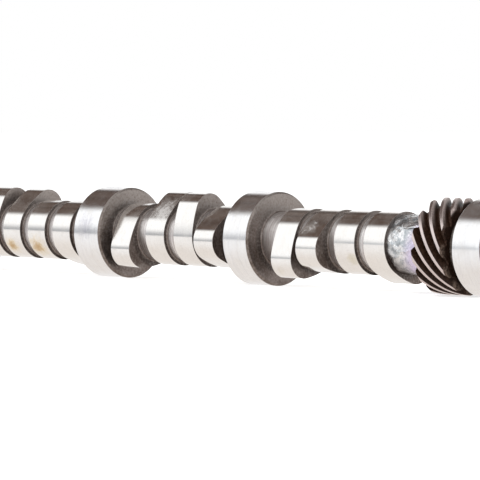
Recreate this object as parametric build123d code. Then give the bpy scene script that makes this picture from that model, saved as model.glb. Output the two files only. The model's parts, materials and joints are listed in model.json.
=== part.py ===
"""Camshaft of a 90-degree pushrod V6 with roller lifters. Sizes are in millimetres.

The shaft lies along X with its front (sprocket) end towards -X, and +Z is up. The origin
is on the shaft's axis at the middle of the front bearing journal. An angle around the shaft
starts at -Y and grows through +Z, which is clockwise as seen from the rear.
"""
from build123d import *
import os
from math import atan2, cos, degrees, pi, radians, sin, sqrt, tan

# bearing journals, front to rear: the middle bay is one pitch long, the front bay is longer
# and the rear bay is longer still by the room that the gear takes
journal_radius = 23.72
journal_pitch = 111.76
front_bay_extra = 14.0
gear_bay_extra = 42.6
front_journal_width = 20.4
second_journal_width = 20.4
third_journal_width = 18.3
rear_journal_width = 17.1
journal_chamfer = 0.9

# the turned barrels between the lobes, the rough one ahead of the gear and the neck behind it
barrel_radius = 13.8
barrel_corner = 1.0
rough_barrel_radius = 14.7
neck_radius = 16.5

# cam lobes: a base circle, two flanks and a nose, all arcs that meet smoothly
base_radius = 15.87
intake_lift = 6.67
exhaust_lift = 6.48
nose_radius = 9.98
half_action = 69.56
lobe_width = 14.1

# timing: the firing order, and where each valve's lift peaks, in crank degrees from top dead centre
firing_order = "165432"
bank_angle = 90.0
intake_centre = 110.0
exhaust_centre = 116.0
shaft_turn = 5.8

# each bay's lobes, front to rear: I or E for intake or exhaust, then the cylinder
front_bay_lobes = ("E1", "E2", "I1", "I2")
middle_bay_lobes = ("E3", "I4", "I3", "E4")
rear_bay_lobes = ("I5", "I6", "E5", "E6")

# the middles of the same lobes, each from the middle of the journal ahead of its bay
front_bay_stations = (37.1, 56.5, 76.7, 96.9)
middle_bay_stations = (22.3, 44.6, 65.8, 87.4)
rear_bay_stations = (28.2, 48.5, 68.7, 88.7)

# drive gear for the distributor and the oil pump: right-hand helical teeth cut in the shaft
gear_teeth = 13
gear_module = 1.84
gear_helix = 56.1
gear_pressure_angle = 20.0
gear_dedendum = 1.25
gear_width = 20.2
gear_end_chamfer = 1.1
gear_to_rear_journal = 6.6

# nose: the boss that carries the thrust plate, with the sprocket's bolt holes and dowel
boss_radius = 16.5
boss_length = 5.0
boss_chamfer = 0.6
bolt_circle_radius = 12.2
bolt_count = 3
bolt_core_radius = 3.4
bolt_depth = 20.0
hole_mouth_chamfer = 0.5
dowel_radius = 3.97
dowel_depth = 10.0
dowel_reach = 8.0
dowel_chamfer = 0.7
dowel_to_bolt = 60.0
drill_point_angle = 118.0

# the centre drillings that the shaft is turned and ground on
centre_mouth_radius = 4.2
centre_pilot_radius = 1.6
centre_pilot_depth = 3.0
centre_cone_angle = 60.0

# places along the shaft
front_bay = journal_pitch + front_bay_extra
rear_bay = journal_pitch + gear_bay_extra
journal_middles = [0.0, front_bay, front_bay + journal_pitch, front_bay + journal_pitch + rear_bay]
journal_widths = [front_journal_width, second_journal_width, third_journal_width, rear_journal_width]
boss_face = -front_journal_width / 2 - boss_length
rear_face = journal_middles[3] + rear_journal_width / 2
gear_rear = rear_face - rear_journal_width - gear_to_rear_journal
gear_front = gear_rear - gear_width
rough_front = journal_middles[2] + rear_bay_stations[-1]

# the gear's circles and lead, from its normal module and helix
gear_pitch_radius = gear_teeth * gear_module / (2 * cos(radians(gear_helix)))
gear_tip_radius = gear_pitch_radius + gear_module
gear_root_radius = gear_pitch_radius - gear_dedendum * gear_module
gear_lead = 2 * pi * gear_pitch_radius / tan(radians(gear_helix))

# two places closer than this are the same place
NEAR = 1e-6

# a round solid is built from its end, about its own axis
ON_AXIS = (Align.CENTER, Align.CENTER, Align.MIN)

# how far the twisted teeth pass the blank that trims them
cutter_overrun = 1.0


def turned_lengths():
    """Each turned length, front to rear: its two ends, its radius and the chamfers of its ends."""
    journals = [(m - w / 2, m + w / 2) for m, w in zip(journal_middles, journal_widths)]
    barrels = [(journals[0][1], journals[1][0]), (journals[1][1], journals[2][0])]
    lengths = [(boss_face, journals[0][0], boss_radius, boss_chamfer, 0)]
    for journal, barrel in zip(journals, barrels):
        lengths.append((*journal, journal_radius, journal_chamfer, journal_chamfer))
        lengths.append((*barrel, barrel_radius, 0, 0))
    lengths.append((*journals[2], journal_radius, journal_chamfer, journal_chamfer))
    lengths.append((journals[2][1], rough_front, barrel_radius, 0, 0))
    lengths.append((rough_front, gear_rear, rough_barrel_radius, 0, 0))
    lengths.append((gear_rear, journals[3][0], neck_radius, 0, 0))
    lengths.append((*journals[3], journal_radius, journal_chamfer, journal_chamfer))
    return lengths


def turned_shaft():
    """The plain shaft: its outline is turned about the axis, with a relief at each journal."""
    outline = [(boss_face, 0)]
    for front, rear, radius, front_chamfer, rear_chamfer in turned_lengths():
        outline.append((front, radius - front_chamfer))
        if front_chamfer:
            outline.append((front + front_chamfer, radius))
        if rear_chamfer:
            outline.append((rear - rear_chamfer, radius))
        outline.append((rear, radius - rear_chamfer))
    shaft = turned(outline + [(rear_face, 0)])
    corners = [edge for edge in shaft.edges().filter_by(GeomType.CIRCLE) if meets_journal(edge)]
    return chamfer(corners, barrel_corner)


def meets_journal(edge):
    """Is this circle the corner where a barrel runs into the side of a journal?"""
    sides = [m + side * w / 2 for m, w in zip(journal_middles, journal_widths) for side in (-1, 1)]
    beside = min(abs(edge.arc_center.X - x) for x in sides) < NEAR
    return beside and abs(edge.radius - barrel_radius) < NEAR


def nose_angle(lobe):
    """Where a lobe's nose points when the shaft is at its turn.

    The shaft turns half as fast as the crank. Odd cylinders are in one bank of the vee and
    even ones in the other, so their lifters lie half the bank angle to either side.
    """
    valve, cylinder = lobe
    firing_turn = firing_order.index(cylinder) / len(firing_order) * 360
    lifter = bank_angle / 2 if int(cylinder) % 2 else -bank_angle / 2
    peak = intake_centre / 2 if valve == "I" else -exhaust_centre / 2
    return shaft_turn + firing_turn + 180 + peak - lifter


def cam_face(lift):
    """The cam profile with its nose along +X.

    The flank arc touches the base circle at half_action from the nose, and touches the nose
    arc from outside. With the nose's centre at a distance d from the axis, the flank's centre
    lies u beyond the axis, opposite the touching point, so its radius is u + base_radius, and
    u follows from the distance between the two centres.
    """
    half = radians(half_action)
    d = base_radius + lift - nose_radius
    gap = base_radius - nose_radius
    u = (d**2 - gap**2) / (2 * (gap - d * cos(half)))
    flank_radius = u + base_radius
    flank_x, flank_y = -u * cos(half), -u * sin(half)
    nose_end = atan2(-flank_y, d - flank_x)
    flank_middle = (nose_end + half) / 2

    def around(x, y, radius, angle, side):
        return (x + radius * cos(angle), side * (y + radius * sin(angle)))

    with BuildSketch() as face:
        with BuildLine():
            for side in (1, -1):
                touch_nose = around(d, 0, nose_radius, nose_end, side)
                touch_base = around(0, 0, base_radius, half, side)
                flank = around(flank_x, flank_y, flank_radius, flank_middle, side)
                ThreePointArc(touch_nose, flank, touch_base)
            nose = [around(d, 0, nose_radius, nose_end, side) for side in (1, -1)]
            ThreePointArc(nose[0], (d + nose_radius, 0), nose[1])
            base = [around(0, 0, base_radius, half, side) for side in (1, -1)]
            ThreePointArc(base[0], (-base_radius, 0), base[1])
        make_face()
    return face.sketch


def cam_lobe(lobe, middle):
    """One lobe across the shaft at its place and angle."""
    lift = intake_lift if lobe[0] == "I" else exhaust_lift
    across = Plane(origin=(middle - lobe_width / 2, 0, 0), x_dir=(0, -1, 0), z_dir=(1, 0, 0))
    return extrude(across * Rot(Z=-nose_angle(lobe)) * cam_face(lift), amount=lobe_width)


def cam_lobes():
    """All twelve lobes, bay by bay."""
    lobes = front_bay_lobes + middle_bay_lobes + rear_bay_lobes
    bays = (front_bay_stations, middle_bay_stations, rear_bay_stations)
    middles = [start + station for start, bay in zip(journal_middles, bays) for station in bay]
    return [cam_lobe(lobe, middle) for lobe, middle in zip(lobes, middles)]


def involute(angle):
    """The involute function of a pressure angle in radians."""
    return tan(angle) - angle


def tooth_half_angle(radius):
    """Half the angle that a tooth spans at a radius, on an involute flank."""
    helix = radians(gear_helix)
    pressure = atan2(tan(radians(gear_pressure_angle)), cos(helix))
    base = gear_pitch_radius * cos(pressure)
    here = atan2(sqrt(radius**2 - base**2), base)
    return degrees(pi / (2 * gear_teeth) + involute(pressure) - involute(here))


def toothed_face():
    """The gear's section across the shaft, with the middle of its first tooth along +X."""
    pitch = 360 / gear_teeth
    beyond = gear_tip_radius + cutter_overrun
    tip, middle, root = (tooth_half_angle(radius) for radius in (beyond, gear_pitch_radius, gear_root_radius))

    def on(radius, angle):
        return (radius * cos(radians(angle)), radius * sin(radians(angle)))

    edges = []
    for tooth in range(gear_teeth):
        turn = tooth * pitch
        for side in (-1, 1):
            foot = on(gear_root_radius, turn + side * root)
            flank = on(gear_pitch_radius, turn + side * middle)
            edges.append(Edge.make_three_point_arc(foot, flank, on(beyond, turn + side * tip)))
        land = [on(beyond, turn + side * tip) for side in (-1, 0, 1)]
        floor = [on(gear_root_radius, turn + angle) for angle in (root, pitch / 2, pitch - root)]
        edges += [Edge.make_three_point_arc(*land), Edge.make_three_point_arc(*floor)]
    return Face(Wire(edges))


def drive_gear():
    """The helical teeth: their section twisted along the shaft, inside a chamfered blank."""
    length = gear_width + 2 * cutter_overrun
    twist = 360 * length / gear_lead
    start = Vector(gear_front - cutter_overrun, 0, 0)
    across = Plane(origin=start, x_dir=(0, -1, 0), z_dir=(1, 0, 0))
    section = across * Rot(Z=-shaft_turn - twist / 2) * toothed_face()
    teeth = Solid.extrude_linear_with_rotation(section, start, (length, 0, 0), twist)
    blank = Pos(X=gear_front) * Rot(Y=90) * Cylinder(gear_tip_radius, gear_width, align=ON_AXIS)
    blank = chamfer(blank.edges().filter_by(GeomType.CIRCLE), gear_end_chamfer)
    return blank & teeth


def hole(radius, depth):
    """A drilled hole's space along +X from the origin, with a chamfered mouth and a drill point."""
    mouth = hole_mouth_chamfer
    point = depth + radius / tan(radians(drill_point_angle / 2))
    return turned([(0, 0), (0, radius + mouth), (mouth, radius), (depth, radius), (point, 0)])


def centre_drilling():
    """The cone and pilot that a lathe centre sits in, along +X from the origin."""
    cone = (centre_mouth_radius - centre_pilot_radius) / tan(radians(centre_cone_angle / 2))
    end = cone + centre_pilot_depth
    pilot = [(cone, centre_pilot_radius), (end, centre_pilot_radius)]
    return turned([(0, 0), (0, centre_mouth_radius), *pilot, (end, 0)])


def turned(outline):
    """A closed outline of (along the axis, radius) corners, turned about the axis."""
    return revolve(Plane.XZ * make_face(Polyline(*outline, close=True)), Axis.X)


def nose_place(angle):
    """A place on the boss's face, on the bolt circle at an angle around the shaft."""
    y, z = -bolt_circle_radius * cos(radians(angle)), bolt_circle_radius * sin(radians(angle))
    return Pos(boss_face, y, z)


def camshaft():
    """The one-piece shaft: turned, with its lobes and gear teeth, then drilled."""
    shaft = turned_shaft() + cam_lobes() + drive_gear()
    bolt_angles = [shaft_turn + dowel_to_bolt + turn * 360 / bolt_count for turn in range(bolt_count)]
    for angle in bolt_angles:
        shaft -= nose_place(angle) * hole(bolt_core_radius, bolt_depth)
    shaft -= nose_place(shaft_turn) * hole(dowel_radius, dowel_depth)
    shaft -= Pos(X=boss_face) * centre_drilling()
    return shaft - Pos(X=rear_face) * Rot(Z=180) * centre_drilling()


def dowel_pin():
    """The pin pressed to the bottom of its hole in the boss's face, with a chamfered free end."""
    pin = Rot(Y=90) * Cylinder(dowel_radius, dowel_depth + dowel_reach, align=ON_AXIS)
    free_end = pin.edges().filter_by(GeomType.CIRCLE).sort_by(Axis.X)[0]
    return nose_place(shaft_turn) * Pos(X=-dowel_reach) * chamfer(free_end, dowel_chamfer)


os.makedirs("parts", exist_ok=True)
for name, make in (("camshaft", camshaft), ("dowel_pin", dowel_pin)):
    export_step(make(), f"parts/{name}.step")
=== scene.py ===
import json
from math import atan2, cos, pi, radians, sin, tan

import bpy
import numpy as np
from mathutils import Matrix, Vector


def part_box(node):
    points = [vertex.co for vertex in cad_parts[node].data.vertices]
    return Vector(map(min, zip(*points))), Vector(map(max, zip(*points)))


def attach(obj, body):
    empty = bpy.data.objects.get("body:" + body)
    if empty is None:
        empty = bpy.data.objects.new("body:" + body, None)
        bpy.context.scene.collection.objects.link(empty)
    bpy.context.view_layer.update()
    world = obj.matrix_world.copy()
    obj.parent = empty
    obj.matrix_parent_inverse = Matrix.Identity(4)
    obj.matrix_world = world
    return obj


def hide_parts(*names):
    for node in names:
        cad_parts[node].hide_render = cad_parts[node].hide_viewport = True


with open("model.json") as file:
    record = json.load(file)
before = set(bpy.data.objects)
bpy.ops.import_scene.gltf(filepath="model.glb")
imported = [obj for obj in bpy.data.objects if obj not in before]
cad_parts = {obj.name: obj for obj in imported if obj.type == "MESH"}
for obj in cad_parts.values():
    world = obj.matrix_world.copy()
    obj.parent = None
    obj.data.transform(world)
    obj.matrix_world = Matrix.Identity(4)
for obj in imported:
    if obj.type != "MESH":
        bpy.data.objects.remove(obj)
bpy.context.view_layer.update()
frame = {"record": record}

MM = 0.001

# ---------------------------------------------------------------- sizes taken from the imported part
mounts = {mount["name"]: mount for mount in frame["record"]["mounts"]}
journal_names = ("front_journal", "second_journal", "third_journal", "rear_journal")
journal_middles = [mounts[name]["pos_m"][0] / MM for name in journal_names]
journal_radius = mounts["front_journal"]["dims"]["r_mm"]
journal_chamfer = 0.9
journal_widths = [mounts[name]["dims"]["length_mm"] + 2 * journal_chamfer for name in journal_names]
boss_radius = mounts["thrust_boss"]["dims"]["r_mm"]
boss_face = mounts["sprocket_face"]["pos_m"][0] / MM
bolt_circle_radius = mounts["sprocket_bolts"]["dims"]["pcd_mm"] / 2
bolt_count = mounts["sprocket_bolts"]["dims"]["count"]
bolt_core_radius = mounts["sprocket_bolts"]["dims"]["hole_r_mm"]
floor_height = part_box("camshaft")[0].z

# ---------------------------------------------------------------- sizes of the shaft's other forms
# barrels, neck and edges
barrel_radius = 13.8
barrel_fillet = 1.0
rough_barrel_radius = 14.7
neck_radius = 16.5
neck_fillet = 0.8
boss_edge = 0.6
boss_fillet = 0.4
journal_edge = 0.18

# a cam lobe, with its lift for an intake and an exhaust valve
base_radius = 15.87
lift = {"I": 6.67, "E": 6.48}
nose_radius = 9.98
half_action = radians(69.56)
lobe_width = 14.1
lobe_edge = 0.15

# timing in degrees, and each bay's lobes: a valve and its cylinder, and how far its middle is from
# the middle of the journal ahead
firing_order = "165432"
bank_angle = 90.0
intake_centre = 110.0
exhaust_centre = 116.0
shaft_turn = 5.8
bay_names = ("front_bay", "middle_bay", "rear_bay")
bay_lobes = (("E1", "E2", "I1", "I2"), ("E3", "I4", "I3", "E4"), ("I5", "I6", "E5", "E6"))
bay_stations = ((37.1, 56.5, 76.7, 96.9), (22.3, 44.6, 65.8, 87.4), (28.2, 48.5, 68.7, 88.7))

# the drive gear
gear_teeth = 13
gear_module = 1.84
gear_helix = radians(56.1)
gear_pressure_angle = radians(20)
gear_dedendum = 1.25
gear_width = 20.2
gear_end_chamfer = 1.1
gear_to_rear_journal = 6.6
tooth_root_fillet = 0.6
tooth_tip_round = 0.16

# bolt holes, dowel and centre drillings
bolt_depth = 20.0
thread_pitch = 1.25
thread_depth = 0.55
thread_runout = 3.0
dowel_radius = 3.97
dowel_depth = 10.0
dowel_reach = 8.0
dowel_round = 0.7
dowel_buried_round = 0.3
dowel_to_bolt = 60.0
drill_point = radians(118)
hole_mouth_chamfer = 0.5
centre_mouth_radius = 4.2
centre_pilot_radius = 1.6
centre_pilot_depth = 3.0
centre_cone = radians(60)
centre_edge = 0.1

# places along the shaft
rear_face = journal_middles[3] + journal_widths[3] / 2
gear_rear = rear_face - journal_widths[3] - gear_to_rear_journal
gear_front = gear_rear - gear_width
rough_front = journal_middles[2] + bay_stations[2][-1]

# the gear's circles and lead
gear_pitch_radius = gear_teeth * gear_module / (2 * cos(gear_helix))
gear_tip_radius = gear_pitch_radius + gear_module
gear_root_radius = gear_pitch_radius - gear_dedendum * gear_module
gear_lead = 2 * pi * gear_pitch_radius / tan(gear_helix)

# the rough barrel's unevenness
rough_sink = 0.25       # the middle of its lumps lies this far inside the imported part's barrel
lump_depth = 0.16
lump_count = 40
lump_finest = 16        # the finest lumps, counted around the barrel
lump_half = 6           # lumps that number this many around are half as deep as the longest
lump_seed = 5
swell_height = 0.9      # how far the barrel swells out at the gear
swell_length = 1.6

# ---------------------------------------------------------------- how finely a surface is worked out
COLUMNS = 384           # points around a turned or ground surface
HOLE_COLUMNS = 64       # points around a hole
PIN_COLUMNS = 96        # points around the dowel
ROUGH_COLUMNS = 256     # points around the rough barrel
ROUGH_ROWS = 120        # rings along the rough barrel
THREAD_ROWS = 8         # rings in one turn of a thread
GEAR_ROWS = 30          # rings along the gear's teeth
GEAR_END_ROWS = 6       # rings in the chamfer at each end of the gear
FLANK_STEPS = 10        # points along a tooth's flank
FILLET_STEPS = 5        # points along a tooth's root fillet
TIP_STEPS = 4           # points along a tooth's rounded tip edge
ARC_STEPS = 4           # stretches in a rounded corner
CRISP = 0.05            # the rounding of an edge that looks sharp
SUPPORT = 0.08          # a row this far past a rounding keeps the flat beside it flat
SUNK = 0.6              # how far a piece runs on inside its neighbour
INSIDE = 2.0            # how far below the barrel's surface a piece's hidden end reaches
HIDDEN = 0.02           # how far a face that would lie in its neighbour's face is sunk into it
AXIS_RING = 0.02        # the radius of the ring around a point on the axis
OVERRUN = 1.0           # how far a hole's tool shape stands out of the face that it cuts
HOLE_CREASE = radians(40)       # an edge that turns by more than this stays sharp
GEAR_CREASE = radians(32)

GROUND, SIDE, TURNED = range(3)


def unit(vectors):
    """Each vector divided by its length, with the last axis as the vector's own."""
    return vectors / np.linalg.norm(vectors, axis=-1, keepdims=True)


def ring_points(x, radius, angle):
    """Points of the surface (x, -r cos(angle), r sin(angle)), in millimetres."""
    x, radius, angle = np.broadcast_arrays(x, radius, angle)
    return np.stack([x, -radius * np.cos(angle), radius * np.sin(angle)], -1)


def all_round(count):
    """This many angles, spread evenly around the axis."""
    return np.arange(count) * 2 * pi / count


def closed_surface(name, points, finishes, materials, crease=None):
    """A mesh from rings of points, one ring a row: quads join each ring to the next one all the way
    round, and a fan to the middle of the first and the last ring closes the ends. Where rings run
    towards +X and points run with the angle, the faces point outwards."""
    rows, columns = points.shape[:2]
    number = np.arange(rows * columns).reshape(rows, columns)
    beside = np.roll(number, -1, axis=1)
    quads = np.stack([number[:-1], number[1:], beside[1:], beside[:-1]], -1).reshape(-1, 4)
    middles = points[[0, -1]].mean(axis=1)
    front, rear = rows * columns, rows * columns + 1
    front_fan = np.stack([np.full(columns, front), number[0], beside[0]], -1)
    rear_fan = np.stack([np.full(columns, rear), beside[-1], number[-1]], -1)
    corners = np.concatenate([quads.ravel(), front_fan.ravel(), rear_fan.ravel()])
    sizes = np.concatenate([np.full(len(quads), 4), np.full(2 * columns, 3)])
    starts = np.concatenate([[0], np.cumsum(sizes)[:-1]])
    vertices = np.concatenate([points.reshape(-1, 3), middles]) * MM

    mesh = bpy.data.meshes.new(name)
    mesh.vertices.add(len(vertices))
    mesh.vertices.foreach_set("co", vertices.ravel())
    mesh.loops.add(len(corners))
    mesh.loops.foreach_set("vertex_index", corners)
    mesh.polygons.add(len(sizes))
    mesh.polygons.foreach_set("loop_start", starts)
    bands = np.repeat(np.asarray(finishes), columns)
    ends = np.repeat([finishes[0], finishes[-1]], columns)
    mesh.polygons.foreach_set("material_index", np.concatenate([bands, ends]))
    mesh.update(calc_edges=True)
    mesh.polygons.foreach_set("use_smooth", np.ones(len(sizes), bool))
    if crease:
        mesh.set_sharp_from_angle(angle=crease)
    mesh.validate()
    for material in materials:
        mesh.materials.append(material)
    piece = bpy.data.objects.new(name, mesh)
    bpy.context.scene.collection.objects.link(piece)
    return piece


def stand_for(node, piece):
    """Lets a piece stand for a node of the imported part."""
    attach(piece, "root")
    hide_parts(node)


def rounded_rows(corners, columns=COLUMNS):
    """The rows of an outline with rounded corners, as (x, radius) for each column, and a finish for
    each band between two rows. A corner is (x, radius, rounding, finish of its rounding, finish of
    the stretch after it), and x and radius may differ from column to column. With e the rounding
    and a the turn from 0 to 90 degrees, a corner's arc is
    corner - e (1 - sin a) incoming + e (1 - cos a) outgoing."""
    place = [np.stack(np.broadcast_arrays(c[0], c[1], np.zeros(columns))[:2], -1) for c in corners]
    rows, finishes = [place[0]], []
    for index in range(1, len(corners) - 1):
        rounding, arc_finish = corners[index][2:4]
        before, here, after = place[index - 1:index + 2]
        incoming, outgoing = unit(here - before), unit(after - here)
        turns = np.linspace(0, pi / 2, ARC_STEPS + 1)
        arc = [here - rounding * (1 - sin(a)) * incoming + rounding * (1 - cos(a)) * outgoing
               for a in turns]
        lead_in = here - (rounding + SUPPORT) * incoming
        lead_out = here + (rounding + SUPPORT) * outgoing
        rows += [lead_in, *arc, lead_out]
        incoming_finish = corners[index - 1][4]
        finishes += [incoming_finish] * 2 + [arc_finish] * ARC_STEPS + [corners[index][4]]
    return np.array(rows + [place[-1]]), finishes + [corners[-2][4]]


def turned_piece(name, corners, materials):
    """A closed piece whose outline is carried around the shaft's axis."""
    rows, finishes = rounded_rows(corners)
    points = ring_points(rows[..., 0], rows[..., 1], all_round(COLUMNS))
    return closed_surface(name, points, finishes, materials)


# ---------------------------------------------------------------- cam lobes
def nose_angle(lobe):
    """Where a lobe's nose points. The shaft turns half as fast as the crank, and the lifters of odd
    and even cylinders lie half the bank angle to either side."""
    valve, cylinder = lobe
    firing_turn = firing_order.index(cylinder) / len(firing_order) * 360
    lifter = bank_angle / 2 if int(cylinder) % 2 else -bank_angle / 2
    peak = intake_centre / 2 if valve == "I" else -exhaust_centre / 2
    return radians(shaft_turn + firing_turn + 180 + peak - lifter)


def cam_radius(lobe, angle):
    """The cam's radius at each angle: the longer crossing of the ray with the arc that it meets,
    c.e + sqrt(R^2 - c.c + (c.e)^2), for the nose arc, then the flank arc, then the base circle.
    The nose arc's centre is d from the axis, and the flank arc's is u from it on the far side."""
    away = np.abs((angle - nose_angle(lobe) + pi) % (2 * pi) - pi)
    d = base_radius + lift[lobe[0]] - nose_radius
    gap = base_radius - nose_radius
    u = (d**2 - gap**2) / (2 * (gap - d * cos(half_action)))
    nose_end = atan2(u * sin(half_action), d + u * cos(half_action))
    nose_edge = atan2(nose_radius * sin(nose_end), d + nose_radius * cos(nose_end))
    on_nose = np.minimum(away, nose_edge)
    nose = d * np.cos(on_nose) + np.sqrt(nose_radius**2 - (d * np.sin(on_nose))**2)
    along = -u * np.cos(away - half_action)
    flank = along + np.sqrt((u + base_radius)**2 - u**2 + along**2)
    return np.where(away < nose_edge, nose, np.where(away < half_action, flank, base_radius))


def bay(name, start, lobes, middles, end, materials):
    """The barrel between two journals with its lobes: side, rounded edge, ground face, edge, side.
    A bay without an end stops at its last lobe, where the rough barrel begins."""
    barrel, fillet = barrel_radius, barrel_fillet
    foot = barrel + fillet + 2 * SUPPORT
    inner = rough_barrel_radius - 2 * SUNK
    corners = [(start - SUNK, foot, 0, SIDE, SIDE), (start - HIDDEN, foot, 0, SIDE, SIDE)]
    corners.append((start - HIDDEN, barrel, fillet, SIDE, TURNED))
    for lobe, middle in zip(lobes, middles):
        front, rear = middle - lobe_width / 2, middle + lobe_width / 2
        radius = cam_radius(lobe, all_round(COLUMNS))
        corners.append((front, barrel, fillet, SIDE, SIDE))
        corners.append((front, radius, lobe_edge, SIDE, GROUND))
        corners.append((rear, radius, lobe_edge, SIDE, SIDE))
        corners.append((rear, barrel, fillet, SIDE, TURNED))
    if end is not None:
        corners += [(end + HIDDEN, barrel, fillet, SIDE, SIDE), (end + HIDDEN, foot, 0, SIDE, SIDE)]
        corners.append((end + SUNK, foot, 0, SIDE, SIDE))
    else:
        corners = corners[:-1]
        corners += [(rear, inner, CRISP, SIDE, SIDE), (rear - SUNK, inner, 0, SIDE, SIDE)]
    return turned_piece(name, corners, materials)


# ---------------------------------------------------------------- journals and the nose
def journal_corners(index, inner_radius, edge=SIDE):
    """A journal's outline, from an inner radius on its front side out to its rear chamfer."""
    front = journal_middles[index] - journal_widths[index] / 2
    rear = journal_middles[index] + journal_widths[index] / 2
    c, soft = journal_chamfer, journal_edge
    return [
        (front, inner_radius, soft, SIDE, SIDE),
        (front, journal_radius - c, soft, edge, edge),
        (front + c, journal_radius, soft, GROUND, GROUND),
        (rear - c, journal_radius, soft, edge, edge),
        (rear, journal_radius - c, soft, edge, SIDE),
    ]


def centre_drilling(face, inward):
    """The outline of a lathe centre's hole, from its bottom on the axis out to the face."""
    cone = (centre_mouth_radius - centre_pilot_radius) / tan(centre_cone / 2)
    bottom = face + inward * (cone + centre_pilot_depth)
    tip = bottom + inward * centre_pilot_radius / tan(drill_point / 2)
    return [
        (tip, AXIS_RING, 0, TURNED, TURNED),
        (bottom, centre_pilot_radius, CRISP, TURNED, TURNED),
        (face + inward * cone, centre_pilot_radius, centre_edge, TURNED, TURNED),
        (face, centre_mouth_radius, centre_edge, TURNED, TURNED),
    ]


def mirrored(corners):
    """The same corners in the other order, with the finish after each corner kept on its stretch."""
    after = [corner[4] for corner in corners]
    turned = [(*corner[:4], finish) for corner, finish in zip(corners, [after[0]] + after[:-1])]
    return turned[::-1]


def front_journal(materials):
    """The stepped nose and the front journal, with the sprocket's holes cut into the nose."""
    corners = centre_drilling(boss_face, 1)
    corners.append((boss_face, boss_radius, boss_edge, TURNED, TURNED))
    side = journal_middles[0] - journal_widths[0] / 2
    corners.append((side, boss_radius, boss_fillet, TURNED, TURNED))
    corners += journal_corners(0, boss_radius)[1:]
    inner = barrel_radius - INSIDE
    rear = journal_middles[0] + journal_widths[0] / 2
    corners += [(rear, inner, CRISP, SIDE, SIDE), (rear - SUNK, inner, 0, SIDE, SIDE)]
    piece = turned_piece("front_journal", corners, materials)
    angles = [shaft_turn + dowel_to_bolt + turn * 360 / bolt_count for turn in range(bolt_count)]
    for angle in angles:
        cut(piece, threaded_hole(radians(angle)))
    cut(piece, plain_hole(radians(shaft_turn)))
    return piece


def middle_journal(index, materials):
    """A journal between two bays."""
    inner = barrel_radius - INSIDE
    rear = journal_middles[index] + journal_widths[index] / 2
    front = journal_middles[index] - journal_widths[index] / 2
    corners = [(front + SUNK, inner, 0, SIDE, SIDE)] + journal_corners(index, inner)
    corners[1] = (front, inner, CRISP, SIDE, SIDE)
    corners += [(rear, inner, CRISP, SIDE, SIDE), (rear - SUNK, inner, 0, SIDE, SIDE)]
    return turned_piece(journal_names[index], corners, materials)


def rear_journal(materials):
    """The neck behind the gear and the rear journal, with its centre drilling."""
    front = journal_middles[3] - journal_widths[3] / 2
    foot = neck_radius + neck_fillet + 2 * SUPPORT
    corners = [
        (gear_rear - SUNK, foot, 0, SIDE, SIDE),
        (gear_rear - HIDDEN, foot, 0, SIDE, SIDE),
        (gear_rear - HIDDEN, neck_radius, neck_fillet, SIDE, SIDE),
        (front, neck_radius, neck_fillet, SIDE, SIDE),
    ]
    corners += journal_corners(3, neck_radius, GROUND)[1:]
    corners += mirrored(centre_drilling(rear_face, -1))
    return turned_piece(journal_names[3], corners, materials)


def hole_outline(radius, depth, x_step):
    """Stations and radii of a drilled hole's space: an overrun ahead of the face, the chamfered
    mouth, the wall and the drill point."""
    mouth = hole_mouth_chamfer
    wall = np.arange(mouth, depth, x_step)
    x = np.concatenate([[-OVERRUN, 0], wall, [depth, depth + radius / tan(drill_point / 2)]])
    r = np.concatenate([[radius + mouth] * 2, np.full(len(wall), radius), [radius, AXIS_RING]])
    return x, r


def bolt_circle_place(x, angle_around):
    """The place on the bolt circle at an angle, at a station along the shaft."""
    y, z = -bolt_circle_radius * cos(angle_around), bolt_circle_radius * sin(angle_around)
    return np.array([x, y, z])


def hole_space(name, x, radius, angle_around):
    """A closed tool shape for one hole of the nose, at its angle on the bolt circle."""
    points = ring_points(x[:, None], radius, all_round(HOLE_COLUMNS))
    points = points + bolt_circle_place(boss_face, angle_around)
    return closed_surface(name, points, [TURNED] * (len(x) - 1), [])


def threaded_hole(angle_around):
    """A tapped hole: the wall's radius is core + depth * (1 - |2 f - 1|), where f is the fraction of
    x / pitch - angle / 360 degrees, and the thread fades out at both ends."""
    x, core = hole_outline(bolt_core_radius, bolt_depth, thread_pitch / THREAD_ROWS)
    fraction = (x[:, None] / thread_pitch - all_round(HOLE_COLUMNS) / (2 * pi)) % 1
    fade = np.clip((x - hole_mouth_chamfer) / thread_pitch, 0, 1)
    fade = fade * np.clip((bolt_depth - thread_runout - x) / thread_pitch, 0, 1)
    radius = core[:, None] + fade[:, None] * thread_depth * (1 - np.abs(2 * fraction - 1))
    return hole_space("bolt_hole_tool", x, radius, angle_around)


def plain_hole(angle_around):
    """The dowel's hole."""
    x, radius = hole_outline(dowel_radius, dowel_depth, dowel_depth)
    return hole_space("dowel_hole_tool", x, radius[:, None], angle_around)


def cut(piece, tool):
    """Takes a tool's shape out of a piece, and takes the tool out of the scene."""
    modifier = piece.modifiers.new("hole", "BOOLEAN")
    modifier.operation = "DIFFERENCE"
    modifier.solver = "EXACT"
    modifier.object = tool
    bpy.context.view_layer.update()
    evaluated = piece.evaluated_get(bpy.context.evaluated_depsgraph_get())
    mesh = bpy.data.meshes.new_from_object(evaluated)
    piece.modifiers.clear()
    piece.data = mesh
    bpy.data.objects.remove(tool)
    mesh.set_sharp_from_angle(angle=HOLE_CREASE)


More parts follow.
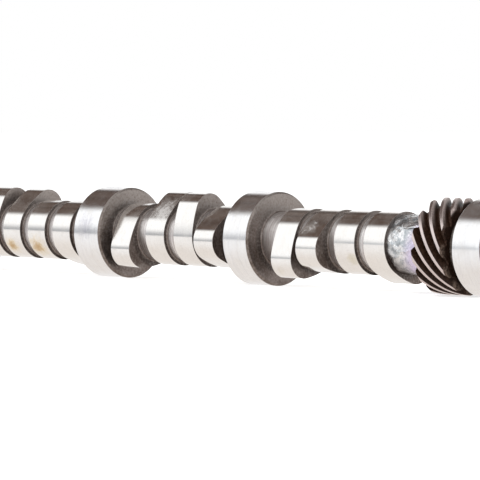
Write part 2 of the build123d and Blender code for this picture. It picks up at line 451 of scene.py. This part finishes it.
# ---------------------------------------------------------------- rough barrel
def lumps(x, angle):
    """A forged surface's unevenness: depth * sum(s sin(n angle + k x + p)) / sqrt(sum(s^2)), for
    waves with n whole turns around, k along and a phase p, all drawn at random. A wave's size s is
    1 / (1 + sqrt(n^2 + (k r)^2) / half), so that longer waves are deeper."""
    random = np.random.default_rng(lump_seed)
    around = random.integers(-lump_finest, lump_finest + 1, lump_count)
    along = random.uniform(-1, 1, lump_count) * lump_finest / rough_barrel_radius
    phase = random.uniform(0, 2 * pi, lump_count)
    size = 1 / (1 + np.hypot(around, along * rough_barrel_radius) / lump_half)
    waves = np.sin(around * angle[..., None] + along * x[..., None] + phase)
    return lump_depth * (waves * size).sum(-1) / np.sqrt((size**2).sum())


def rough_barrel(material):
    """The rough section between the last lobe and the gear: its radius varies with the lumps, and
    swells by height * exp(-(gear's front - x) / length)."""
    x = np.linspace(rough_front, gear_front + SUNK, ROUGH_ROWS)[:, None]
    x, angle = np.broadcast_arrays(x, all_round(ROUGH_COLUMNS)[None, :])
    radius = rough_barrel_radius - rough_sink + lumps(x, angle)
    radius = radius + swell_height * np.exp(-(gear_front - x) / swell_length)
    points = ring_points(x, radius, angle)
    return closed_surface("rough_barrel", points, [0] * (len(points) - 1), [material])


# ---------------------------------------------------------------- drive gear
def involute(angle):
    """The involute function of a pressure angle in radians."""
    return np.tan(angle) - angle


def tooth_half_angle(radius):
    """Half the angle that a tooth spans at a radius, on an involute flank."""
    pressure = atan2(tan(gear_pressure_angle), cos(gear_helix))
    base = gear_pitch_radius * cos(pressure)
    here = np.arctan2(np.sqrt(radius**2 - base**2), base)
    return pi / (2 * gear_teeth) + involute(pressure) - involute(here)


def bend(a, b, c, steps):
    """A curve from a to c that heads for b: (1-t)^2 a + 2 t (1-t) b + t^2 c, as (radius, angle)."""
    t = np.linspace(0, 1, steps)[:, None, None]
    return (1 - t)**2 * a + 2 * t * (1 - t) * b + t**2 * c


def half_tooth(top):
    """Half of a tooth and of the space beside it, from the middle of the space to the middle of the
    tooth, for each top radius: the space's floor, a root fillet, the involute flank, a rounded tip
    edge and the land. The result is (points, tops, 2), a radius and an angle for each."""
    def at(radius, angle):
        return np.stack(np.broadcast_arrays(radius, angle, np.zeros_like(top))[:2], -1)

    root = gear_root_radius
    foot = root + tooth_root_fillet
    shoulder = top - tooth_tip_round
    floor_end = tooth_half_angle(root) + tooth_root_fillet / root
    land_edge = tooth_half_angle(top)
    t = np.linspace(0, 1, FLANK_STEPS)[1:-1, None]
    flank_radius = foot + (shoulder - foot) * t
    floor = [at(root, pi / gear_teeth + (floor_end - pi / gear_teeth) * s) for s in (0, 0.5)]
    fillet = bend(at(root, floor_end), at(root, tooth_half_angle(root)),
                  at(foot, tooth_half_angle(foot)), FILLET_STEPS)
    flank = np.stack([flank_radius, tooth_half_angle(flank_radius)], -1)
    land_start = land_edge - tooth_tip_round / top
    tip = bend(at(shoulder, tooth_half_angle(shoulder)), at(top, land_edge), at(top, land_start),
               TIP_STEPS)
    return np.concatenate([floor, fillet, flank, tip, [at(top, land_start * 0.5)]])


def drive_gear(material):
    """The helical gear: the tooth outline turned by 360 degrees over its lead along the shaft, with
    its tips cut back on a cone at both ends, and flat end faces down to inside the shaft."""
    chamfer = gear_end_chamfer
    near_end = np.linspace(0, chamfer, GEAR_END_ROWS)
    x = np.concatenate([gear_front + near_end,
                        np.linspace(gear_front + chamfer, gear_rear - chamfer, GEAR_ROWS)[1:-1],
                        gear_rear - near_end[::-1]])
    top = gear_tip_radius - np.clip(chamfer - np.minimum(x - gear_front, gear_rear - x), 0, chamfer)
    half = half_tooth(top)
    centre = np.stack([top, np.zeros_like(top)], -1)[None]
    other = half[::-1][:-1]
    radius = np.concatenate([half, centre, other])[..., 0]
    tooth = np.concatenate([-half[..., 1], centre[..., 1], other[..., 1]])
    angle = (all_round(gear_teeth)[:, None, None] + tooth[None]).reshape(-1, len(x)).T
    radius = np.tile(radius, (gear_teeth, 1)).T
    middle = (gear_front + gear_rear) / 2
    angle = angle + radians(shaft_turn) - ((x - middle) * 2 * pi / gear_lead)[:, None]
    x = np.broadcast_to(x[:, None], radius.shape)
    x = np.concatenate([x[:1], x, x[-1:]])
    angle = np.concatenate([angle[:1], angle, angle[-1:]])
    inner_ring = np.full_like(radius[:1], rough_barrel_radius - INSIDE)
    radius = np.concatenate([inner_ring, radius, inner_ring])
    points = ring_points(x, radius, angle)
    return closed_surface("drive_gear", points, [0] * (len(points) - 1), [material], GEAR_CREASE)


def dowel_pin(material):
    """The pin: its outline turned about its own axis, with a rounded free end."""
    free, buried = boss_face - dowel_reach, boss_face + dowel_depth
    corners = [
        (free, AXIS_RING, 0, 0, 0),
        (free, dowel_radius, dowel_round, 0, 0),
        (buried, dowel_radius, dowel_buried_round, 0, 0),
        (buried, AXIS_RING, 0, 0, 0),
    ]
    rows, finishes = rounded_rows(corners, PIN_COLUMNS)
    points = ring_points(rows[..., 0], rows[..., 1], all_round(PIN_COLUMNS))
    points = points + bolt_circle_place(0, radians(shaft_turn))
    return closed_surface("dowel", points, finishes, [material])


# ---------------------------------------------------------------- marks on the surfaces
def colour(r, g, b):
    """A colour for a node's socket, which takes an alpha of 1 as well."""
    return (r, g, b, 1.0)


old_oil = colour(0.53, 0.31, 0.11)
oil_edge = colour(0.92, 0.78, 0.50)
faint_oil = colour(0.74, 0.68, 0.50)
dull_blue = colour(0.50, 0.49, 0.58)

# each row: place in millimetres on the surface, reach, colour, strength, and how streaky it is
lobe_stains = [
    ((54.3, -13.0, -8.9), 9.0, oil_edge, 0.7, 0.0),
    ((54.3, -13.0, -8.9), 5.0, old_oil, 0.75, 0.0),
    ((75.6, -13.0, -9.2), 12.0, oil_edge, 0.7, 0.0),
    ((75.1, -13.1, -9.0), 7.0, old_oil, 0.65, 0.0),
    ((264.0, -14.7, -13.6), 5.0, faint_oil, 0.6, 0.0),
    ((310.2, -14.2, -8.0), 6.5, faint_oil, 0.5, 0.0),
]
journal_stains = [((124.7, -23.3, 3.4), 12.0, dull_blue, 0.55, 0.6)]

# pale scuffs on ground faces, each row: place, reach, strength, and how even it is
scuffs = [
    ((171.5, -12.5, 14.0), 16.0, 0.42, 1.0),
    ((283.3, -16.0, 7.0), 8.0, 0.34, 0.0),
    ((391.0, -9.0, 22.0), 12.0, 0.10, 0.0),
]

# pale rubbed patches on the turned barrels, each row: place, reach, strength
rubbed = [((251.8, -11.9, 7.0), 12.0, 0.28), ((293.5, -11.8, 7.1), 9.0, 0.22)]


# ---------------------------------------------------------------- shader maths
class Socket:
    """A node's output. Arithmetic on it adds the Math node that works it out."""

    def __init__(self, tree, output):
        self.tree, self.output = tree, output

    def math(self, operation, first, second=0.0):
        """What a Math node makes of two values."""
        return self.tree.node("Math", {"operation": operation}, {0: first, 1: second})

    def __add__(self, other):
        return self.math("ADD", self, other)

    def __sub__(self, other):
        return self.math("SUBTRACT", self, other)

    def __rsub__(self, other):
        return self.math("SUBTRACT", other, self)

    def __mul__(self, other):
        return self.math("MULTIPLY", self, other)

    def __truediv__(self, other):
        return self.math("DIVIDE", self, other)

    def __pow__(self, other):
        return self.math("POWER", self, other)

    __radd__ = __add__
    __rmul__ = __mul__

    def clamped(self):
        """The value, held between 0 and 1."""
        return self.math("MINIMUM", self.math("MAXIMUM", self, 0.0), 1.0)

    def step(self, start, end):
        """0 below start and 1 above end, with a smooth rise between them."""
        sockets = {"Value": self, "From Min": start, "From Max": end}
        return self.tree.node("MapRange", {"interpolation_type": "SMOOTHSTEP"}, sockets)


class Tree:
    """The node tree of a material or the world, with what the finishes share."""

    def __init__(self, owner):
        owner.use_nodes = True
        self.nodes, self.links = owner.node_tree.nodes, owner.node_tree.links
        self.nodes.clear()

    def node(self, kind, settings=None, sockets=None, out=0):
        """A node of a kind, its settings made first, then its sockets' values or links."""
        node = self.nodes.new("ShaderNode" + kind)
        for name, value in (settings or {}).items():
            setattr(node, name, value)
        for name, value in (sockets or {}).items():
            if isinstance(value, Socket):
                self.links.new(value.output, node.inputs[name])
            else:
                node.inputs[name].default_value = value
        return Socket(self, node.outputs[out])

    def mix(self, factor, low, high):
        """A colour between two colours."""
        return self.node("Mix", {"data_type": "RGBA"}, {0: factor, 6: low, 7: high}, out=2)

    def place(self):
        """Object coordinates in millimetres: the vector and its three parts."""
        metres = self.node("TexCoord", out="Object")
        vector = self.node("VectorMath", {"operation": "SCALE"}, {0: metres, "Scale": 1 / MM})
        parts = [self.node("SeparateXYZ", {}, {0: vector}, out=axis) for axis in range(3)]
        return vector, *parts

    def join(self, x, y, z):
        """A vector from its three parts."""
        return self.node("CombineXYZ", {}, {0: x, 1: y, 2: z})

    def noise(self, vector, scale, detail=2.0, roughness=0.5):
        """Noise around 0.5 over a vector."""
        sockets = {"Vector": vector, "Scale": scale, "Detail": detail, "Roughness": roughness}
        return self.node("TexNoise", {"noise_dimensions": "3D"}, sockets)

    def wrinkles(self, vector, scale):
        """Sharp crooked ridges over a vector, like crumpled foil."""
        settings = {"noise_dimensions": "3D", "noise_type": "RIDGED_MULTIFRACTAL"}
        sockets = {"Vector": vector, "Scale": scale, "Detail": 3.0, "Roughness": 0.5,
                   "Distortion": 0.6, "Offset": 0.85, "Gain": 1.4}
        return self.node("TexNoise", settings, sockets)

    def blot(self, vector, place, reach):
        """A ragged blot about a place: 1 in its middle and 0 beyond its reach."""
        sockets = {0: vector, 1: place}
        away = self.node("VectorMath", {"operation": "DISTANCE"}, sockets, out="Value")
        ragged = away + self.noise(vector, 0.45, 4.0, 0.65) * reach
        return ragged.step(reach * 1.25, reach * 0.55)

    def bump(self, height):
        """The normal of a surface raised by a height in millimetres."""
        return self.node("Bump", {}, {"Height": height, "Distance": MM, "Strength": 1.0})


def new_material(name):
    """A material with an empty node tree."""
    material = bpy.data.materials.new(name)
    return material, Tree(material)


def finish_with(tree, shader, kind="OutputMaterial"):
    """Links a shader to the tree's output node."""
    output = tree.nodes.new("ShaderNode" + kind)
    tree.links.new(shader.output, output.inputs["Surface"])


def coat_with(tree, tone, metal, rough, height, constants=None):
    """Gives the tree a principled shader with these values and a bump of this height."""
    sockets = {"Base Color": tone, "Metallic": metal, "Roughness": rough}
    sockets["Normal"] = tree.bump(height)
    finish_with(tree, tree.node("BsdfPrincipled", {}, sockets | (constants or {})))


def from_axis(y, z):
    """The distance from the shaft's axis."""
    return (y * y + z * z) ** 0.5


def around_shaft(y, z):
    """The direction away from the shaft's axis, as its y and z parts."""
    radius = from_axis(y, z)
    return y / radius, z / radius


def ground_steel(name, bright, dull, roughness, line_depth, streaks, stains):
    """Ground and polished steel: fine lines run around it, and a thin dull film lies on it in
    smudges, specks and scuffs that soften what it reflects. An even scuff blurs it as well."""
    smudge_tone = colour(0.86, 0.82, 0.77)
    material, tree = new_material(name)
    vector, x, y, z = tree.place()
    cy, cz = around_shaft(y, z)
    fine = tree.noise(tree.join(x * 5.0, cy * 0.7, cz * 0.7), 1.0, 3.0, 0.6)
    broad = tree.noise(tree.join(x * 0.9, cy * 1.6, cz * 1.6), 1.0, 3.0, 0.6)
    lines = tree.noise(tree.join(x * 2.0, cy * 1.0, cz * 1.0), 1.0, 4.0, 0.7).step(0.35, 0.62)
    smudge = tree.noise(vector, 0.16, 4.0, 0.6).step(0.42, 0.70)
    mottle = tree.noise(vector, 0.7, 4.0, 0.7).step(0.40, 0.75)
    worn = tree.noise(vector, 0.045, 2.0).step(0.44, 0.60)
    tone = tree.mix(broad.step(0.40, 0.75) * streaks, bright, dull)
    tone = tree.mix(smudge * 0.22, tone, smudge_tone)
    for place, reach, shade, strength, streaky in stains:
        blot = tree.blot(vector, place, reach) * strength * (1.0 - streaky + lines * streaky)
        tone = tree.mix(blot, tone, shade)
    rough = roughness + fine.step(0.3, 0.8) * 0.05 + smudge * 0.06
    film = (mottle * 0.05 + smudge * 0.03 + worn * 0.035) * (0.6 + fine * 0.8)
    for place, reach, strength, evenness in scuffs:
        scuff = tree.blot(vector, place, reach) * strength
        film = film + scuff * (mottle * (1.0 - evenness) + 0.3 + evenness * 0.4)
        rough = rough + scuff * evenness * 0.6
    coat_with(tree, tone, 1.0 - film, rough, fine * line_depth)
    return material


def side_steel():
    """Dull brown sides of journals and lobes: faint turned rings about the axis, patches of oxide
    and fine pale and dark specks. Painted light makes it paler towards the top, and painted shade
    darkens the corner that the bigger sides make with a barrel."""
    oxide, bare = colour(0.155, 0.118, 0.101), colour(0.25, 0.207, 0.188)
    painted_corner_shade, painted_top_light = colour(0.055, 0.042, 0.037), colour(0.42, 0.375, 0.35)
    ring_tone = colour(0.45, 0.42, 0.40)
    pale_speck, dark_speck = colour(0.56, 0.52, 0.49), colour(0.09, 0.066, 0.056)
    material, tree = new_material("dull_side_steel")
    vector, _, y, z = tree.place()
    radius = from_axis(y, z)
    cy, cz = around_shaft(y, z)
    rings = tree.noise(tree.join(radius * 2.2, cy * 1.1, cz * 1.1), 1.0, 3.0, 0.65)
    grain = tree.noise(vector, 0.9, 5.0, 0.75)
    patch = tree.noise(vector, 0.16, 3.0)
    # painted light: the sides are paler towards the top
    lit_top = z.step(-4.0, 24.0)
    tone = tree.mix(patch.step(0.35, 0.7), oxide, bare)
    # painted shade: dark in the corner where a bigger side meets its barrel
    corner = radius.step(18.5, 16.0) * radius.step(14.2, 14.8)
    tone = tree.mix(corner * 0.75, tone, painted_corner_shade)
    tone = tree.mix(lit_top * 0.75, tone, painted_top_light)
    tone = tree.mix(rings.step(0.4, 0.8) * 0.18, tone, ring_tone)
    tone = tree.mix(grain.step(0.45, 0.75) * 0.55, tone, pale_speck)
    tone = tree.mix(grain.step(0.50, 0.28) * 0.6, tone, dark_speck)
    coat_with(tree, tone, 0.92, 0.36 + grain * 0.20, rings * 0.012 + grain * 0.05)
    return material


def turned_steel():
    """Turned barrels: lathe marks run around, bright on their crests and brown between them, and
    a few patches are rubbed pale."""
    groove, crest = colour(0.57, 0.52, 0.505), colour(0.96, 0.94, 0.93)
    grime = colour(0.34, 0.29, 0.27)
    material, tree = new_material("turned_steel")
    vector, x, y, z = tree.place()
    cy, cz = around_shaft(y, z)
    marks = tree.noise(tree.join(x * 2.4, cy * 0.8, cz * 0.8), 1.0, 3.0, 0.7)
    grain = tree.noise(vector, 1.1, 4.0, 0.6)
    tone = tree.mix(marks.step(0.35, 0.65), groove, crest)
    tone = tree.mix(grain.step(0.52, 0.78) * 0.4, tone, grime)
    metal = 0.95
    for place, reach, strength in rubbed:
        metal = metal - tree.blot(vector, place, reach) * strength
    coat_with(tree, tone, metal, 0.26 + grain * 0.15, marks * 0.05 + grain * 0.015)
    return material


def rough_steel():
    """The rough barrel: crumpled bright steel with blue-grey patches and dark flecks, painted brown
    shade beside the last lobe and underneath, and a lavender heat tint near the gear."""
    blue_grey, bright = colour(0.50, 0.54, 0.57), colour(0.96, 0.97, 0.98)
    lavender, dark_fleck = colour(0.82, 0.72, 0.97), colour(0.22, 0.23, 0.24)
    painted_shade_brown = colour(0.12, 0.088, 0.080)
    material, tree = new_material("rough_steel")
    vector, x, y, z = tree.place()
    crumple = tree.wrinkles(tree.join(x * 0.8, y, z), 0.17)
    grain = tree.noise(vector, 0.8, 5.0, 0.7)
    patch = tree.noise(vector, 0.33, 3.0, 0.6).step(0.38, 0.60)
    tone = tree.mix(patch, blue_grey, bright)
    tint = (x - z * 0.35).step(gear_front - 14.0, gear_front - 5.0)
    tone = tree.mix(tint * 0.85, tone, lavender)
    flecks = grain.step(0.56, 0.70) * (0.65 - tint * 0.4)
    tone = tree.mix(flecks, tone, dark_fleck)
    # painted shade, brown, beside the last lobe and on the underside
    shaded_by_lobe = x.step(rough_front + 9.0, rough_front + 7.0)
    slope = z + (x - rough_front) * 0.9
    under = slope.step(11.0, -6.0) * z.step(1.0, -6.0) * x.step(gear_front - 6.0, gear_front - 12.0)
    brown = (under * 0.9 + shaded_by_lobe * 0.4) * (0.5 + grain)
    tone = tree.mix(brown.clamped(), tone, painted_shade_brown)
    coat_with(tree, tone, 0.95, 0.17 + grain * 0.14, crumple * 0.40 + grain * 0.16)
    return material


def gear_steel():
    """The gear's dark brown coat, worn pale on the lands of the teeth, with a painted highlight on
    the tips that face up, and thin at the rear ends."""
    deep_brown, brown = colour(0.024, 0.010, 0.005), colour(0.060, 0.030, 0.019)
    worn_tone, painted_highlight_tone = colour(0.80, 0.70, 0.68), colour(0.62, 0.52, 0.49)
    thin_coat = colour(0.22, 0.16, 0.125)
    material, tree = new_material("gear_steel")
    vector, x, y, z = tree.place()
    radius = from_axis(y, z)
    grain = tree.noise(vector, 0.9, 4.0, 0.6)
    coat = tree.mix(grain.step(0.4, 0.7), deep_brown, brown)
    land = radius.step(gear_tip_radius - 0.30, gear_tip_radius - 0.05)
    worn = land * (0.75 + grain * 0.5).clamped()
    outer = radius.step(gear_tip_radius - 3.6, gear_tip_radius - 2.0)
    ends = x.step(gear_rear - 1.4, gear_rear - 0.6) * outer
    tone = tree.mix(worn, coat, worn_tone)
    ends = ends * grain.step(0.32, 0.60) * z.step(10.0, -4.0)
    tone = tree.mix(ends * 0.8, tone, thin_coat)
    # painted highlight on the flanks near the tips of the teeth that face up
    highlit_tip = radius.step(gear_tip_radius - 2.4, gear_tip_radius - 0.5) * z.step(8.0, 20.0)
    tone = tree.mix(highlit_tip * (0.25 + grain), tone, painted_highlight_tone)
    rough = 0.46 - worn * 0.20 + grain * 0.1
    coat_with(tree, tone, 0.30 + worn * 0.70, rough, grain * 0.04, {"Specular IOR Level": 0.28})
    return material


def pin_steel():
    """The dowel's ground steel."""
    bright, dull = colour(0.70, 0.70, 0.71), colour(0.58, 0.58, 0.59)
    material, tree = new_material("pin_steel")
    _, x, y, z = tree.place()
    lines = tree.noise(tree.join(x * 4.0, y * 0.4, z * 0.4), 1.0, 3.0)
    tone = tree.mix(lines.step(0.4, 0.7), bright, dull)
    coat_with(tree, tone, 1.0, 0.18 + lines * 0.1, lines * 0.01)
    return material


# ---------------------------------------------------------------- the shaft
def build_shaft():
    """Every visible surface of the part, from the nose to the rear."""
    journal_finish = ground_steel(
        "ground_journal_steel", bright=colour(0.975, 0.98, 0.99), dull=colour(0.76, 0.76, 0.80),
        roughness=0.13, line_depth=0.008, streaks=0.28, stains=journal_stains)
    lobe_finish = ground_steel(
        "ground_lobe_steel", bright=colour(0.97, 0.955, 0.935), dull=colour(0.80, 0.78, 0.76),
        roughness=0.08, line_depth=0.004, streaks=0.18, stains=lobe_stains)
    side, turned = side_steel(), turned_steel()
    pieces = [front_journal([journal_finish, side, turned])]
    pieces += [middle_journal(index, [journal_finish, side, turned]) for index in (1, 2)]
    pieces.append(rear_journal([journal_finish, side, turned]))
    for index, (name, lobes, stations) in enumerate(zip(bay_names, bay_lobes, bay_stations)):
        start = journal_middles[index] + journal_widths[index] / 2
        end = journal_middles[index + 1] - journal_widths[index + 1] / 2
        middles = [journal_middles[index] + station for station in stations]
        finishes = [lobe_finish, side, turned]
        pieces.append(bay(name, start, lobes, middles, end if index < 2 else None, finishes))
    pieces += [rough_barrel(rough_steel()), drive_gear(gear_steel())]
    for piece in pieces:
        stand_for("camshaft", piece)
    stand_for("dowel_pin", dowel_pin(pin_steel()))


# ---------------------------------------------------------------- floor, light and camera
floor_size = 12.0
floor_tone = 0.80
floor_lift = 0.66
soft_light = 0.55
lamp_power = 26.0
lamp_size = 1.6
lamp_place = (0.1, -0.7, 1.5)

camera_target = (0.21733, 0.0, -0.001387)
camera_distance = 1.71393
camera_azimuth = radians(45.743)
camera_elevation = radians(2.373)
camera_lens = 251.98
camera_sensor = 36.0


def pale_floor():
    """A wide plain floor under the shaft. It looks white where it is lit and keeps the shadow."""
    half = floor_size / 2
    corners = [(-half, -half), (half, -half), (half, half), (-half, half)]
    mesh = bpy.data.meshes.new("floor")
    mesh.from_pydata([(x, y, floor_height) for x, y in corners], [], [(0, 1, 2, 3)])
    material, tree = new_material("pale_floor")
    seen = tree.node("LightPath", out="Is Camera Ray")
    paint = tree.node("BsdfDiffuse", {}, {"Color": colour(floor_tone, floor_tone, floor_tone)})
    glow = tree.node("Emission", {}, {"Color": colour(1, 1, 1), "Strength": seen * floor_lift})
    finish_with(tree, tree.node("AddShader", {}, {0: paint, 1: glow}))
    mesh.materials.append(material)
    floor = bpy.data.objects.new("floor", mesh)
    bpy.context.scene.collection.objects.link(floor)
    floor.visible_glossy = False


def reflected_room(tree):
    """What the steel reflects, by direction: white walls, a dark brown ceiling above a slanting
    edge, a soft panel overhead and a warm pale floor, with a blue-grey shade in the wall that ends
    at the floor."""
    ceiling, ceiling_patch = colour(0.058, 0.037, 0.029), colour(0.125, 0.090, 0.074)
    white_wall, panel = colour(1.07, 1.07, 1.07), colour(0.85, 0.85, 0.85)
    wall_shade, left_shade = colour(0.62, 0.64, 0.66), colour(0.40, 0.405, 0.42)
    far_floor, near_floor = colour(0.91, 0.89, 0.88), colour(0.80, 0.745, 0.70)
    toward = tree.node("TexCoord", out="Generated")
    x, y, z = [tree.node("SeparateXYZ", {}, {0: toward}, out=axis) for axis in range(3)]
    left = x.step(-0.675, -0.715)
    slant = tree.node("MapRange", {}, {"Value": x, "From Min": -0.80, "From Max": -0.62,
                                       "To Min": -0.086, "To Max": 0.10})
    height = z + y * 0.24 - slant
    patch = tree.noise(toward, 6.0, 4.0, 0.6).step(0.30, 0.72)
    dark = tree.mix(patch, ceiling, ceiling_patch)
    wall = tree.mix(height.step(0.475, 0.625), white_wall, dark)
    wall = tree.mix(z.step(0.80, 0.92), wall, panel)
    shade = tree.mix(left, wall_shade, left_shade)
    fall = z.step(-0.02, 0.09 + left * 0.19)
    wall = tree.mix(fall, shade, wall)
    ground = tree.mix(z.step(-0.15, -0.70), far_floor, near_floor)
    return tree.mix(z.step(-0.055, -0.025), ground, wall)


def studio():
    """The world: steel reflects the room, everything else gets a plain soft light, and the camera
    sees white."""
    world = bpy.data.worlds.new("studio")
    bpy.context.scene.world = world
    tree = Tree(world)
    mirror = tree.node("Background", {}, {"Color": reflected_room(tree), "Strength": 1.0})
    soft = tree.node("Background", {}, {"Color": colour(1, 1, 1), "Strength": soft_light})
    white = tree.node("Background", {}, {"Color": colour(1, 1, 1), "Strength": 1.0})
    glossy = tree.node("LightPath", out="Is Glossy Ray")
    seen = tree.node("LightPath", out="Is Camera Ray")
    lit = tree.node("MixShader", {}, {0: glossy, 1: soft, 2: mirror})
    finish_with(tree, tree.node("MixShader", {}, {0: seen, 1: lit, 2: white}), "OutputWorld")


def lamp():
    """One large soft lamp above and in front."""
    light = bpy.data.lights.new("soft_lamp", "AREA")
    light.energy, light.size = lamp_power, lamp_size
    lamp_object = bpy.data.objects.new("soft_lamp", light)
    lamp_object.location = lamp_place
    aim = Vector((journal_middles[2] * MM, 0, 0)) - Vector(lamp_place)
    lamp_object.rotation_euler = aim.to_track_quat("-Z", "Y").to_euler()
    lamp_object.visible_glossy = False
    bpy.context.scene.collection.objects.link(lamp_object)


def camera():
    """The camera beyond the rear end, a little above the shaft, with a long lens."""
    a, e = camera_azimuth, camera_elevation
    back = Vector((sin(a) * cos(e), -cos(a) * cos(e), sin(e)))
    data = bpy.data.cameras.new("camera")
    data.lens, data.sensor_width = camera_lens, camera_sensor
    view = bpy.data.objects.new("camera", data)
    view.location = Vector(camera_target) + back * camera_distance
    view.rotation_euler = (-back).to_track_quat("-Z", "Y").to_euler()
    bpy.context.scene.collection.objects.link(view)
    bpy.context.scene.camera = view


build_shaft()
pale_floor()
studio()
lamp()
camera()
bpy.context.scene.view_settings.view_transform = "Standard"
